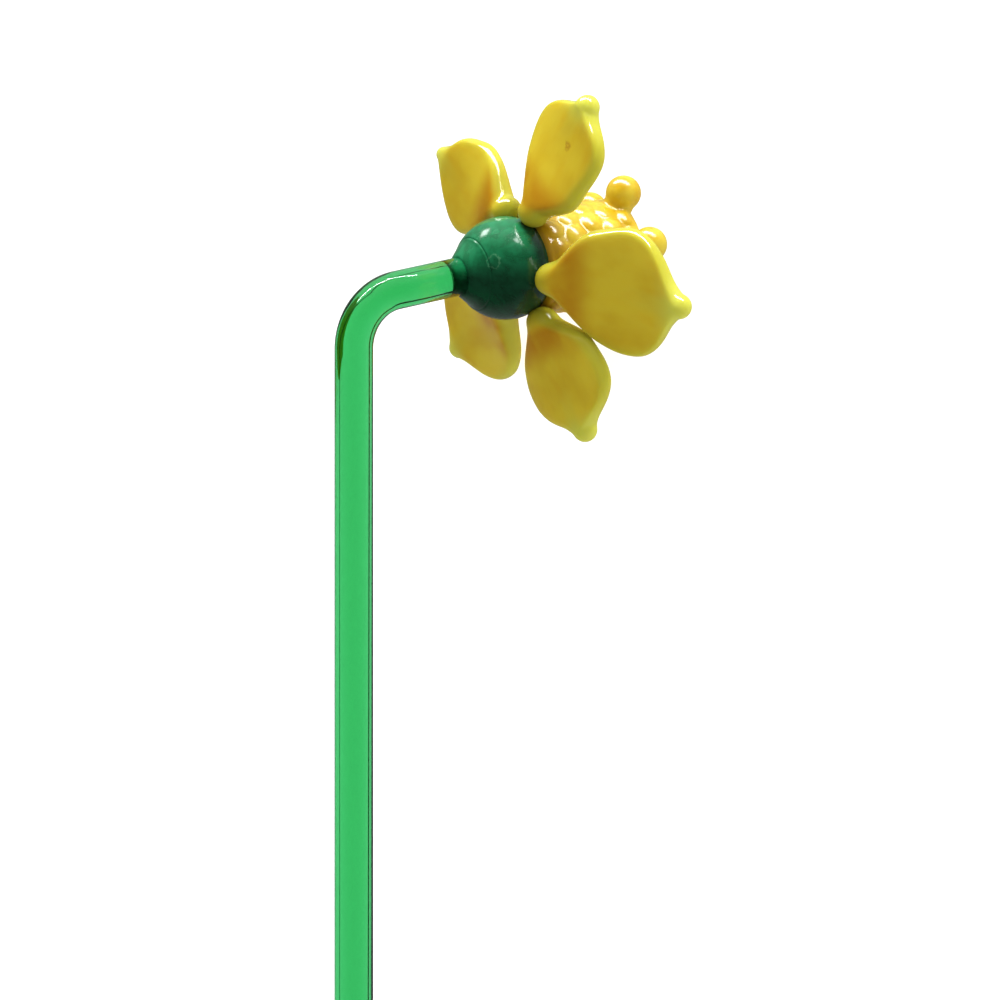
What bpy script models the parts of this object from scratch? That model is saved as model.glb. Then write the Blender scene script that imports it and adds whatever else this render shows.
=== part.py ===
"""Lampworked glass daffodil, lying on a table as a cut flower does.

One green glass rod is the stem. Its upper end is bent over and carries a dark green bead, the
seed pod. Five pressed yellow petals and a yellow trumpet with five knobs on its rim stand round
and in front of the bead. The flower is modelled upright, its stem along +Z and its face towards
+X, and is then laid down on its three lowest points: the cut end of the stem, the nub of one
petal and one knob of the trumpet.
"""

import math
from collections import namedtuple

import bmesh
import bpy
from mathutils import Matrix, Vector

MM = 0.001

# ---------------------------------------------------------------- driving dimensions
GAP = 0.3 * MM                  # between pieces that are fused in the real flower

ROD_RADIUS = 3.5 * MM           # stem, drawn from 7 mm rod
STEM_LENGTH = 205.0 * MM        # straight run, from the cut end to the start of the bend
STEM_END_ROUNDING = 0.7 * MM    # the cut end is melted round
BEND_RADIUS = 11.0 * MM         # centre line of the bend
NECK_RISE = math.radians(12.0)  # the neck still climbs this much past the bend
FACE_RISE = math.radians(10.0)  # the flower looks this far above the horizontal
NECK_LENGTH = 13.0 * MM         # straight run from the bend to the bead

BEAD_RADIUS = 9.5 * MM
BEAD_TAIL = 9.7 * MM            # from the bead's centre back to the stem
BEAD_TAIL_RADIUS = 3.9 * MM
BEAD_CONE = math.radians(38)    # angle from the tail at which its cone meets the ball

TRUMPET_BACK = 5.0 * MM         # distances along the flower's axis from the bead's centre
TRUMPET_RIM = 24.9 * MM
TRUMPET_RADIUS = 9.3 * MM       # at its back and at its rim
TRUMPET_SWELL = 0.7 * MM        # fuller than that in between
RING_COUNT = 5                  # wound rings that show on the trumpet's outside
RING_STEPS = 4                  # stations along each ring
RING_DEPTH = 0.35 * MM
BUMP_COUNT = 14                 # bumps round each ring
BUMP_HEIGHT = 0.22 * MM

CUP_BOTTOM = 13.5 * MM          # the hollow's deepest point, along the flower's axis
CUP_ROUND = 4.0 * MM            # height of its rounded bottom
CUP_BOTTOM_RADIUS = 5.5 * MM
CUP_MOUTH_RADIUS = 6.5 * MM
CUP_FLARE = 0.6 * MM            # the rim is rounded inwards by this

KNOB_CLOCKS = (1, 65, 137, 209, 281)  # clock angles of the knobs, in degrees
KNOB_RADIUS = 3.1 * MM
KNOB_REACH = 10.9 * MM          # from the flower's axis to a knob's centre
KNOB_BACK = 0.4 * MM            # a knob's centre sits this far behind the rim

ROOT_RADIUS = 3.2 * MM          # round end of a petal where it is fused on
ROOT_OUT = 9.7 * MM             # from the flower's axis to a root
PETAL_CUP = 0.8 * MM            # how far a petal's sides curve forward

# How each petal stands, in degrees and mm: the clock angle of its root round the flower's axis
# and the root's place along that axis, the petal's lean away from the axis, its swing to a later
# clock angle in its own plane, its roll about its own length, its length and full width, where
# along its length its side towards earlier and its side towards later clock angles are widest,
# how far its tip is drawn sideways, how much fuller one side is near the root (below 0 for the
# side towards earlier clock angles), and the radius of the nub.
Petal = namedtuple("Petal", (
    "clock along lean swing roll length width belly_early belly_late tip_shift shoulder nub"))
PETALS = {
    "petal_1": Petal(97, 3.6, 91, 61, 9, 25.8, 18.7, 0.47, 0.63, -3.1, 0.0, 1.6),
    "petal_2": Petal(57, 3.6, 74, -3, -2, 27.0, 20.4, 0.60, 0.61, -0.8, -2.0, 2.4),
    "petal_3": Petal(-15, 2.0, 64, -1, 1, 31.1, 24.0, 0.57, 0.58, -0.8, 1.4, 2.4),
    "petal_4": Petal(-67, 3.4, 83, -9, -2, 25.2, 24.2, 0.50, 0.56, 0.0, 0.0, 2.4),
    "petal_5": Petal(221, 3.7, 84, -24, -13, 28.7, 22.6, 0.45, 0.54, 0.9, 0.0, 2.2),
}

# A petal's outline behind its nub, for a belly of 0.57: place along the length, half width as a
# share of the widest, and half thickness.
BELLY = 0.57
PADDLE = (
    (0.10, 0.28, 2.9 * MM),
    (0.20, 0.50, 2.6 * MM),
    (0.32, 0.78, 2.1 * MM),
    (0.45, 0.94, 1.8 * MM),
    (BELLY, 1.00, 1.7 * MM),
    (0.69, 0.94, 1.7 * MM),
    (0.79, 0.70, 1.8 * MM),
    (0.86, 0.38, 2.0 * MM),
)
TIP_SHIFT_START = 0.55          # shares of a petal's length over which its tip shift grows
TIP_SHIFT_SPAN = 0.40
SHOULDER_PLACE = 0.24           # share of a petal's length at which a shoulder is fullest
SHOULDER_SPAN = 0.14
SHOULDER_START = 2.0 * MM       # from the middle line to where a shoulder is at its full height

# The three lowest points: the stem's end, and these two.
RESTING_PETAL = "petal_5"
RESTING_KNOB = 3                # counted round the rim from the first
FLAT_DEPTH = 0.2 * MM           # how much is flattened where the flower touches the table
LAY_DOWN_ROUNDS = 40            # rounds in which the plane under the three points settles

# mesh fineness
STEM_SIDES = 20
BEND_STEPS = 10
BEAD_SIDES = 28
BEAD_STEPS = 11
TRUMPET_SIDES = 56
CUP_SIDES = 32
CUP_STEPS = 4
KNOB_SIDES = 16
KNOB_RINGS = 10
PADDLE_STEPS = 2                # stations between two rows of PADDLE
EDGE_STEPS = 4                  # facets round a petal's edge
FACE_STEPS = 4                  # facets across a petal's face


# ---------------------------------------------------------------- the flower's own directions
FACE = Vector((math.cos(FACE_RISE), 0.0, math.sin(FACE_RISE)))   # along the flower's axis
SIDE = Vector((0.0, -1.0, 0.0))                                   # clock angle 0
CROWN = SIDE.cross(FACE)                                          # clock angle 90 degrees

NECK = Vector((math.cos(NECK_RISE), 0.0, math.sin(NECK_RISE)))
BEND_TURN = math.pi / 2 - NECK_RISE
BEND_END = Vector((
    BEND_RADIUS * (1 - math.cos(BEND_TURN)),
    0.0,
    BEND_RADIUS * math.sin(BEND_TURN),
))
BEAD_CENTRE = BEND_END + NECK * NECK_LENGTH + FACE * (GAP + BEAD_TAIL)


def radial(clock):
    """Direction straight out from the flower's axis at a clock angle."""
    return SIDE * math.cos(clock) + CROWN * math.sin(clock)


def on_axis(along, out=0.0, clock=0.0):
    """Point given by its distance along the flower's axis and out from it."""
    return BEAD_CENTRE + FACE * along + radial(clock) * out


# ---------------------------------------------------------------- small tools
def glass(name, colour, roughness):
    """Plain glossy material for one colour of glass."""
    material = bpy.data.materials.new(name)
    material.use_nodes = True
    shader = material.node_tree.nodes["Principled BSDF"]
    shader.inputs["Base Color"].default_value = (*colour, 1.0)
    shader.inputs["Roughness"].default_value = roughness
    shader.inputs["Metallic"].default_value = 0.0
    return material


def loft(name, rings, start=None, end=None):
    """Closed mesh object through rings of equal count, each end drawn to a point if given."""
    mesh = bmesh.new()
    loops = [[mesh.verts.new(point) for point in ring] for ring in rings]
    count = len(loops[0])
    for lower, upper in zip(loops, loops[1:]):
        for i in range(count):
            j = (i + 1) % count
            mesh.faces.new((lower[i], lower[j], upper[j], upper[i]))
    for loop, tip in ((loops[0], start), (loops[-1], end)):
        if tip is None:
            mesh.faces.new(loop)
            continue
        apex = mesh.verts.new(tip)
        for i in range(count):
            mesh.faces.new((loop[i], loop[(i + 1) % count], apex))
    bmesh.ops.recalc_face_normals(mesh, faces=mesh.faces)
    data = bpy.data.meshes.new(name)
    mesh.to_mesh(data)
    mesh.free()
    data.shade_smooth()
    obj = bpy.data.objects.new(name, data)
    bpy.context.collection.objects.link(obj)
    return obj


def turned(name, profile, sides, relief=lambda along, clock: 0.0):
    """Loft round the flower's axis through (along, out) pairs; the two end pairs are on the axis."""
    clocks = [2 * math.pi * i / sides for i in range(sides)]
    rings = [
        [on_axis(along, out + relief(along, clock), clock) for clock in clocks]
        for along, out in profile[1:-1]
    ]
    return loft(name, rings, start=on_axis(profile[0][0]), end=on_axis(profile[-1][0]))


def boolean(obj, operation, operand):
    """Leave a Boolean modifier on obj; operand is an object or a collection."""
    modifier = obj.modifiers.new(operation.lower(), "BOOLEAN")
    modifier.operation = operation
    modifier.solver = "EXACT"
    if isinstance(operand, bpy.types.Collection):
        modifier.operand_type = "COLLECTION"
        modifier.collection = operand
    else:
        modifier.object = operand
    return modifier


def cutter(obj):
    """Mark an object as a tool that isn't part of the flower."""
    obj.hide_render = True
    obj.display_type = "WIRE"
    return obj


def catmull_rom(rows, steps):
    """Points on a smooth curve through the rows, steps to each stretch."""
    padded = [rows[0], *rows, rows[-1]]
    points = []
    for a, b, c, d in zip(padded, padded[1:], padded[2:], padded[3:]):
        for k in range(steps):
            t = k / steps
            points.append(tuple(
                0.5 * (2 * q + (r - p) * t + (2 * p - 5 * q + 4 * r - s) * t ** 2
                       + (3 * q - p - 3 * r + s) * t ** 3)
                for p, q, r, s in zip(a, b, c, d)
            ))
    points.append(rows[-1])
    return points


def smooth_step(x):
    x = min(max(x, 0.0), 1.0)
    return x * x * (3 - 2 * x)


# ---------------------------------------------------------------- stem
def stem():
    """The rod: a melted cut end, the straight run, the bend and the neck."""
    stations = [(Vector((0, 0, -STEM_LENGTH)), Vector((0, 0, 1)), ROD_RADIUS - STEM_END_ROUNDING)]
    for k in range(1, 4):
        angle = k * math.pi / 6
        rise = STEM_END_ROUNDING * (1 - math.cos(angle))
        radius = ROD_RADIUS - STEM_END_ROUNDING * (1 - math.sin(angle))
        stations.append((Vector((0, 0, rise - STEM_LENGTH)), Vector((0, 0, 1)), radius))
    for k in range(BEND_STEPS + 1):
        turn = BEND_TURN * k / BEND_STEPS
        centre = Vector((BEND_RADIUS * (1 - math.cos(turn)), 0, BEND_RADIUS * math.sin(turn)))
        stations.append((centre, Vector((math.sin(turn), 0, math.cos(turn))), ROD_RADIUS))
    stations.append((BEND_END + NECK * NECK_LENGTH, FACE, ROD_RADIUS))
    rings = []
    for centre, heading, radius in stations:
        across = heading.cross(SIDE)
        rings.append([
            centre + (SIDE * math.cos(a) + across * math.sin(a)) * radius
            for a in (2 * math.pi * i / STEM_SIDES for i in range(STEM_SIDES))
        ])
    return loft("stem", rings)


# ---------------------------------------------------------------- bead
def bead_profile(grow=0.0):
    """Outline of the bead: a flat tail on the stem, a cone, and a round front."""
    radius = BEAD_RADIUS + grow
    points = [(-BEAD_TAIL - grow, 0.0), (-BEAD_TAIL - grow, BEAD_TAIL_RADIUS + grow)]
    for k in range(BEAD_STEPS):
        angle = BEAD_CONE + (math.pi - BEAD_CONE) * k / BEAD_STEPS
        points.append((-radius * math.cos(angle), radius * math.sin(angle)))
    points.append((radius, 0.0))
    return points


def bead(name, grow=0.0):
    return turned(name, bead_profile(grow), BEAD_SIDES)


# ---------------------------------------------------------------- trumpet
def trumpet_share(along):
    """Place along the trumpet, 0 at its back and 1 at its rim."""
    return (along - TRUMPET_BACK) / (TRUMPET_RIM - TRUMPET_BACK)


def trumpet_radius(along):
    """Smooth outer radius of the trumpet, without its relief."""
    return TRUMPET_RADIUS + TRUMPET_SWELL * math.sin(math.pi * trumpet_share(along))


def trumpet_relief(along, clock):
    """Relief of the wound rings and of the bumps round them, staggered ring by ring."""
    turn = trumpet_share(along) * RING_COUNT
    ring = abs(math.sin(math.pi * turn))
    stagger = math.pi * (int(turn) % 2)
    return RING_DEPTH * (ring - 1) + BUMP_HEIGHT * ring * math.cos(BUMP_COUNT * clock + stagger)


def trumpet_body():
    """The trumpet as a solid plug with its ring relief."""
    stations = RING_COUNT * RING_STEPS
    places = [
        TRUMPET_BACK + (TRUMPET_RIM - TRUMPET_BACK) * k / stations
        for k in range(stations + 1)
    ]
    profile = [(along, trumpet_radius(along)) for along in places]
    profile = [(TRUMPET_BACK, 0.0), *profile, (TRUMPET_RIM, 0.0)]
    return turned("trumpet", profile, TRUMPET_SIDES, trumpet_relief)


def trumpet_hollow():
    """Cutter for the cup: a rounded bottom, a slightly wider mouth and a rounded lip."""
    profile = [(CUP_BOTTOM, 0.0)]
    for k in range(1, CUP_STEPS + 1):
        angle = math.pi / 2 * k / CUP_STEPS
        along = CUP_BOTTOM + CUP_ROUND * (1 - math.cos(angle))
        profile.append((along, CUP_BOTTOM_RADIUS * math.sin(angle)))
    profile.append((TRUMPET_RIM - CUP_FLARE, CUP_MOUTH_RADIUS))
    profile.append((TRUMPET_RIM + CUP_FLARE, CUP_MOUTH_RADIUS + 2 * CUP_FLARE))
    profile.append((TRUMPET_RIM + CUP_FLARE, 0.0))
    return cutter(turned("trumpet_hollow", profile, CUP_SIDES))


def knob_centre(index):
    return on_axis(TRUMPET_RIM - KNOB_BACK, KNOB_REACH, math.radians(KNOB_CLOCKS[index]))


def knob_balls():
    """Collection of the balls that one union fuses on to the trumpet's rim."""
    knobs = bpy.data.collections.new("knobs")
    bpy.context.scene.collection.children.link(knobs)
    for index in range(len(KNOB_CLOCKS)):
        bpy.ops.mesh.primitive_uv_sphere_add(
            segments=KNOB_SIDES, ring_count=KNOB_RINGS, radius=KNOB_RADIUS,
            location=knob_centre(index), rotation=FACE.to_track_quat("Z", "Y").to_euler(),
        )
        ball = bpy.context.object
        for holder in list(ball.users_collection):
            holder.objects.unlink(ball)
        knobs.objects.link(ball)
    return knobs


def trumpet_seat():
    """Outside of the trumpet with the gap added, for the petals to stand clear of."""
    widest = TRUMPET_RADIUS + TRUMPET_SWELL + BUMP_HEIGHT + GAP
    middle = (TRUMPET_BACK + TRUMPET_RIM) / 2
    profile = [
        (TRUMPET_BACK - GAP, 0.0),
        (TRUMPET_BACK - GAP, TRUMPET_RADIUS + GAP),
        (middle, widest),
        (TRUMPET_RIM, widest),
        (TRUMPET_RIM, 0.0),
    ]
    return cutter(turned("trumpet_seat", profile, TRUMPET_SIDES))


# ---------------------------------------------------------------- petals
def petal_frame(stance):
    """Placing matrix of a petal: X across it, Y along it, Z to the flower's front."""
    clock, lean = math.radians(stance.clock), math.radians(stance.lean)
    out = radial(clock)
    along = FACE * math.cos(lean) + out * math.sin(lean)
    across = CROWN * math.cos(clock) - SIDE * math.sin(clock)
    turn = Matrix((across, along, across.cross(along))).transposed().to_4x4()
    swing = Matrix.Rotation(-math.radians(stance.swing), 4, "Z")
    roll = Matrix.Rotation(math.radians(stance.roll), 4, "Y")
    root = on_axis(stance.along * MM, ROOT_OUT, clock)
    return Matrix.Translation(root) @ turn @ swing @ roll


def petal_section(half_width, half_thickness):
    """Outline across a petal, flat with round edges, as (x, z) pairs."""
    flat = max(half_width - half_thickness, 0.0)
    edge = min(half_thickness, half_width)
    points = []
    for side in (1, -1):
        for k in range(EDGE_STEPS + 1):
            angle = -math.pi / 2 + math.pi * k / EDGE_STEPS
            points.append((side * (flat + edge * math.cos(angle)),
                           side * half_thickness * math.sin(angle)))
        for k in range(1, FACE_STEPS):
            points.append((side * flat * (1 - 2 * k / FACE_STEPS), side * half_thickness))
    return points


def paddle_place(share, belly):
    """Place along a petal for a row of PADDLE, when the petal is widest at belly."""
    if share <= BELLY:
        return share * belly / BELLY
    return 1 - (1 - share) * (1 - belly) / (1 - BELLY)


def petal(name, stance):
    """One pressed petal: a round root, a flat paddle and a round nub at the tip."""
    place = petal_frame(stance)
    length, width, tip_shift = stance.length * MM, stance.width * MM, stance.tip_shift * MM
    nub = stance.nub * MM
    nub_centre = length - nub
    # each row: place along the early side and along the late side, half width, half thickness
    rows = []
    for k in range(1, 3):
        angle = k * math.pi / 6
        along, radius = ROOT_RADIUS * (1 - math.cos(angle)), ROOT_RADIUS * math.sin(angle)
        rows.append((along, along, radius, radius))
    outline = [
        (paddle_place(share, stance.belly_early) * length,
         paddle_place(share, stance.belly_late) * length,
         half * width / 2, thickness)
        for share, half, thickness in PADDLE
    ]
    outline.append((nub_centre, nub_centre, nub, nub))
    rows += catmull_rom(outline, PADDLE_STEPS)
    for k in range(1, 4):
        angle = k * math.pi / 8
        along, radius = nub_centre + nub * math.sin(angle), nub * math.cos(angle)
        rows.append((along, along, radius, radius))

    def at(x, y, z):
        shift = tip_shift * smooth_step((y / length - TIP_SHIFT_START) / TIP_SHIFT_SPAN)
        fuller = stance.shoulder * MM
        fuller *= math.exp(-((y / length - SHOULDER_PLACE) / SHOULDER_SPAN) ** 2)
        if x * fuller > 0:
            x += fuller * min(abs(x) / SHOULDER_START, 1.0)
        cup = PETAL_CUP * (2 * x / width) ** 2
        return place @ Vector((x + shift, y, z + cup))

    rings = [
        [
            at(x, (early + late + (late - early) * x / half) / 2, z)
            for x, z in petal_section(half, thickness)
        ]
        for early, late, half, thickness in rows
    ]
    obj = loft(name, rings, start=at(0, 0, 0), end=at(0, length, 0))
    return obj, at(0, nub_centre, 0)


# ---------------------------------------------------------------- laying the flower down
def lay_down(nub, nub_radius, knob):
    """Matrix that turns the upright flower on to the plane under its stem end, nub and knob."""
    end = Vector((0, 0, STEM_END_ROUNDING - STEM_LENGTH))
    end_edge = ROD_RADIUS - STEM_END_ROUNDING
    down = SIDE * -1.0
    for _ in range(LAY_DOWN_ROUNDS):
        across = Vector((down.x, down.y, 0)).normalized()
        a = end + across * end_edge + down * STEM_END_ROUNDING
        b = nub + down * nub_radius
        c = knob + down * KNOB_RADIUS
        normal = (b - a).cross(c - a).normalized()
        down = normal if normal.dot(down) > 0 else -normal
    up = -down
    forward = Vector((0, 0, 1))
    forward = (forward - up * forward.dot(up)).normalized()
    turn = Matrix((forward.cross(up), forward, up)).to_4x4()
    contact = turn @ a
    return Matrix.Translation(Vector((0, 0, -contact.z - FLAT_DEPTH))) @ turn


def centred(nodes):
    """Matrix that brings the middle of the nodes' box over the origin."""
    corners = [vertex.co for obj in nodes for vertex in obj.data.vertices]
    middle = [(min(p[i] for p in corners) + max(p[i] for p in corners)) / 2 for i in (0, 1)]
    return Matrix.Translation(Vector((-middle[0], -middle[1], 0)))


def flatten(obj):
    """Grind off what would stand below the table, leaving a small flat spot."""
    mesh = bmesh.new()
    mesh.from_mesh(obj.data)
    cut = bmesh.ops.bisect_plane(
        mesh, geom=[*mesh.verts, *mesh.edges, *mesh.faces], dist=1e-7,
        plane_co=(0, 0, 0), plane_no=(0, 0, 1), clear_inner=True,
    )
    rim = [item for item in cut["geom_cut"] if isinstance(item, bmesh.types.BMEdge)]
    bmesh.ops.edgeloop_fill(mesh, edges=rim)
    bmesh.ops.recalc_face_normals(mesh, faces=mesh.faces)
    mesh.to_mesh(obj.data)
    mesh.free()


# ---------------------------------------------------------------- building
def apply_modifiers(objects):
    """Replace each object's mesh by what its modifiers make of it."""
    bpy.context.view_layer.update()
    depsgraph = bpy.context.evaluated_depsgraph_get()
    for obj in objects:
        solid = bpy.data.meshes.new_from_object(obj.evaluated_get(depsgraph))
        obj.modifiers.clear()
        obj.data = solid


def build():
    """Make the upright flower, lay it down and flatten the three spots that it rests on."""
    for obj in list(bpy.data.objects):
        bpy.data.objects.remove(obj)

    green = glass("green rod glass", (0.03, 0.55, 0.12), 0.05)
    dark = glass("dark green glass", (0.01, 0.16, 0.07), 0.06)
    yellow = glass("yellow glass", (0.62, 0.44, 0.02), 0.08)

    rod = stem()
    pod = bead("bead")
    bead_seat = cutter(bead("bead_seat", GAP))
    cup = trumpet_body()
    hollow = trumpet_hollow()
    knobs = knob_balls()
    cup_seat = trumpet_seat()
    boolean(cup, "UNION", knobs)
    boolean(cup, "DIFFERENCE", hollow)
    boolean(cup, "DIFFERENCE", bead_seat)

    petals, nubs = [], {}
    for name, stance in PETALS.items():
        obj, nubs[name] = petal(name, stance)
        boolean(obj, "DIFFERENCE", bead_seat)
        boolean(obj, "DIFFERENCE", cup_seat)
        petals.append(obj)

    rod.data.materials.append(green)
    pod.data.materials.append(dark)
    for obj in (cup, *petals):
        obj.data.materials.append(yellow)

    apply_modifiers((cup, *petals))
    for obj in (bead_seat, hollow, cup_seat, *knobs.objects):
        bpy.data.objects.remove(obj)
    bpy.data.collections.remove(knobs)

    nodes = [rod, pod, cup, *petals]
    nub_radius = PETALS[RESTING_PETAL].nub * MM
    pose = lay_down(nubs[RESTING_PETAL], nub_radius, knob_centre(RESTING_KNOB))
    for obj in nodes:
        obj.data.transform(pose)
    shift = centred(nodes)
    for obj in nodes:
        obj.data.transform(shift)
    for obj in nodes:
        if min(vertex.co.z for vertex in obj.data.vertices) < 0:
            flatten(obj)
    return shift @ pose, nodes


POSE, NODES = build()
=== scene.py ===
# %% [markdown]
# # A daffodil worked at the torch
# The flower is glass all over: a green rod for a stem, a dark bead for the seed pod, five petals
# pressed flat with a paddle, and a trumpet wound round by round. It lies on a table as a cut
# flower does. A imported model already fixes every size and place, and this file dresses it: each
# piece is modelled the way it was worked, and is then laid down over its plain solid.

# %% The frame and its box
import math

import bmesh
import bpy
from mathutils import Matrix, Vector


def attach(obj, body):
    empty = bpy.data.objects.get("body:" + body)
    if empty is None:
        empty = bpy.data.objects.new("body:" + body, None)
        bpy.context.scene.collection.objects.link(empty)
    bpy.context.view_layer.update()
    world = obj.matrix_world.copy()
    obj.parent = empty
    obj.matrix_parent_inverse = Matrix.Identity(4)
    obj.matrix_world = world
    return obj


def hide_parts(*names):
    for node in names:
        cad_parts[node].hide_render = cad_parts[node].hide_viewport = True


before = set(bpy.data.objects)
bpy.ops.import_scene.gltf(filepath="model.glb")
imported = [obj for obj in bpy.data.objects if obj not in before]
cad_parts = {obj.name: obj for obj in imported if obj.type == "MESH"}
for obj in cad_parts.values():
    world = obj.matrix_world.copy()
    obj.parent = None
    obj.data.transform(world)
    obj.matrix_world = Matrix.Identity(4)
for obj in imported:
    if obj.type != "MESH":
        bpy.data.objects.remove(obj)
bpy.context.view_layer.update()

MM = 0.001
print("solids:", ", ".join(sorted(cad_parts)))

# %% [markdown]
# ## Where the flower lies
# The head is easiest to model round its own axis, with the bead's centre at the origin and the
# flower facing up. The solids say how that head lies in the world: the line from the middle of
# the bead to the middle of the trumpet is the axis, and the stem's middle lies in the plane that
# halves the flower. Measuring them keeps the file free of typed-in angles.

# %% Reading the head's place from the solids
BEAD_RADIUS = 9.5 * MM


def middle(name):
    """Centre of a solid's volume."""
    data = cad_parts[name].data
    data.calc_loop_triangles()
    total, weighted = 0.0, Vector()
    for triangle in data.loop_triangles:
        a, b, c = (data.vertices[i].co for i in triangle.vertices)
        volume = a.dot(b.cross(c))
        total += volume
        weighted += (a + b + c) * (volume / 4)
    return weighted / total


def furthest(name, direction):
    """How far a solid reaches in a direction."""
    return max(vertex.co.dot(direction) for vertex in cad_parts[name].data.vertices)


FACE = (middle("trumpet") - middle("bead")).normalized()
SIDE = FACE.cross(middle("bead") - middle("stem")).normalized()
CROWN = SIDE.cross(FACE)
BEAD_CENTRE = middle("bead")
BEAD_CENTRE += FACE * (furthest("bead", FACE) - BEAD_CENTRE.dot(FACE) - BEAD_RADIUS)

HEAD = Matrix.Translation(BEAD_CENTRE) @ Matrix((CROWN, SIDE, FACE)).transposed().to_4x4()
print("the flower faces", [round(part, 3) for part in FACE])

# %% [markdown]
# ## A few small tools
# Hot glass is drawn out and squeezed, and a ring of vertices can be treated in the same way: it is
# extruded a little further, made wider or narrower, and extruded again. One tool starts the ring,
# one draws it out, one selects by place, and one draws a whole profile from ring to ring. The last
# two apply a modifier and turn the finished cage into a smooth piece.

# %% Ring, pick, draw out, turn and finish
def ring(name, sides, radius, place=Matrix()):
    """A new open ring round Z, put in its place, in edit mode and selected."""
    bpy.ops.object.select_all(action="DESELECT")
    bpy.ops.mesh.primitive_circle_add(vertices=sides, radius=radius)
    piece = bpy.context.object
    piece.name = piece.data.name = name
    piece.data.transform(place)
    bpy.ops.object.mode_set(mode="EDIT")
    bpy.ops.mesh.select_mode(type="VERT")
    bpy.ops.mesh.select_all(action="SELECT")
    return piece


def pick(test):
    """Selects, in edit mode, the vertices whose place passes the test, and only those."""
    data = bpy.context.object.data
    mesh = bmesh.from_edit_mesh(data)
    for vertex in mesh.verts:
        vertex.select = test(vertex.co)
    mesh.select_flush_mode()
    bmesh.update_edit_mesh(data)


def draw_out(step, scale, centre):
    """Extrudes the selected ring by a step and scales the new one about its centre."""
    bpy.ops.mesh.extrude_region_move(TRANSFORM_OT_translate={"value": step})
    bpy.ops.transform.resize(value=scale, center_override=centre)


POLE = 0.1 * MM                    # how narrow a profile gets before its end is merged


def turned(name, profile, sides):
    """A closed piece round Z through (height, radius) pairs, ending in a pole at each end."""
    low, start = profile[0]
    piece = ring(name, sides, start, Matrix.Translation((0, 0, low)))
    bpy.ops.mesh.edge_face_add()
    bpy.ops.mesh.poke()
    pick(lambda place: place.xy.length > start / 2)
    for (before, narrow), (height, wide) in zip(profile, profile[1:]):
        draw_out((0, 0, height - before), (wide / narrow, wide / narrow, 1), (0, 0, height))
    bpy.ops.mesh.merge(type="CENTER")
    return piece


def apply_modifier(piece, kind, **settings):
    """Adds a modifier with its settings and applies it to the mesh."""
    modifier = piece.modifiers.new(kind.title(), kind)
    for name, value in settings.items():
        setattr(modifier, name, value)
    bpy.ops.object.modifier_apply(modifier=modifier.name)


def finish(piece, levels, place=Matrix()):
    """Leaves edit mode with a smooth mesh whose faces point out, and lays it in its place."""
    bpy.ops.mesh.select_all(action="SELECT")
    bpy.ops.mesh.normals_make_consistent(inside=False)
    bpy.ops.object.mode_set(mode="OBJECT")
    if levels:
        apply_modifier(piece, "SUBSURF", levels=levels, render_levels=levels)
    piece.data.transform(place)
    bpy.ops.object.shade_smooth()
    return piece


# %% Places and soft steps
def out_from_axis(along, out, clock):
    """Point by its distance along the flower's axis, out from it, and its clock angle."""
    return Vector((out * math.sin(clock), out * math.cos(clock), along))


def smooth_step(x):
    """0 below 0, 1 above 1, and an S-shaped curve between."""
    x = min(max(x, 0.0), 1.0)
    return x * x * (3 - 2 * x)


# %% [markdown]
# ## The stem
# The stem is 7 mm borosilicate rod. Its cut end was melted round in the flame, and the top was
# bent over while soft. A ring is drawn out for the straight run, spun round the bend's centre,
# and drawn out again for the neck, which runs on into the bead. A curve with a bevel would be
# quicker, but the ring keeps the true round end and shows how Spin works.

# %% Rod, bend and neck
ROD_RADIUS = 3.48 * MM
STEM_LENGTH = 205.0 * MM
END_ROUNDING = 0.7 * MM
END_STEPS = 8
BEND_RADIUS = 11.0 * MM
NECK_RISE = math.radians(12)
FACE_RISE = math.radians(10)       # the flower looks up a little less than its neck
NECK_LENGTH = 13.0 * MM
BEAD_TAIL = 9.7 * MM               # from the bead's centre back to its tail
BEAD_GAP = 0.3 * MM                # bare rod between the neck's end and the tail
SUNK = 1.2 * MM                    # how far the rod runs on into the bead
ROD_SIDES = 96
BEND_STEPS = 40

bend_turn = math.pi / 2 - NECK_RISE
neck = Vector((math.cos(NECK_RISE), 0, math.sin(NECK_RISE)))
bend_end = Vector((1 - math.cos(bend_turn), 0, math.sin(bend_turn))) * BEND_RADIUS
face = Vector((math.cos(FACE_RISE), 0, math.sin(FACE_RISE)))
crown = Vector((-math.sin(FACE_RISE), 0, math.cos(FACE_RISE)))
side = Vector((0, -1, 0))
bead_centre = bend_end + neck * NECK_LENGTH + face * (BEAD_TAIL + BEAD_GAP)
UPRIGHT = HEAD @ Matrix((crown, side, face)).to_4x4() @ Matrix.Translation(-bead_centre)


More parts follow.
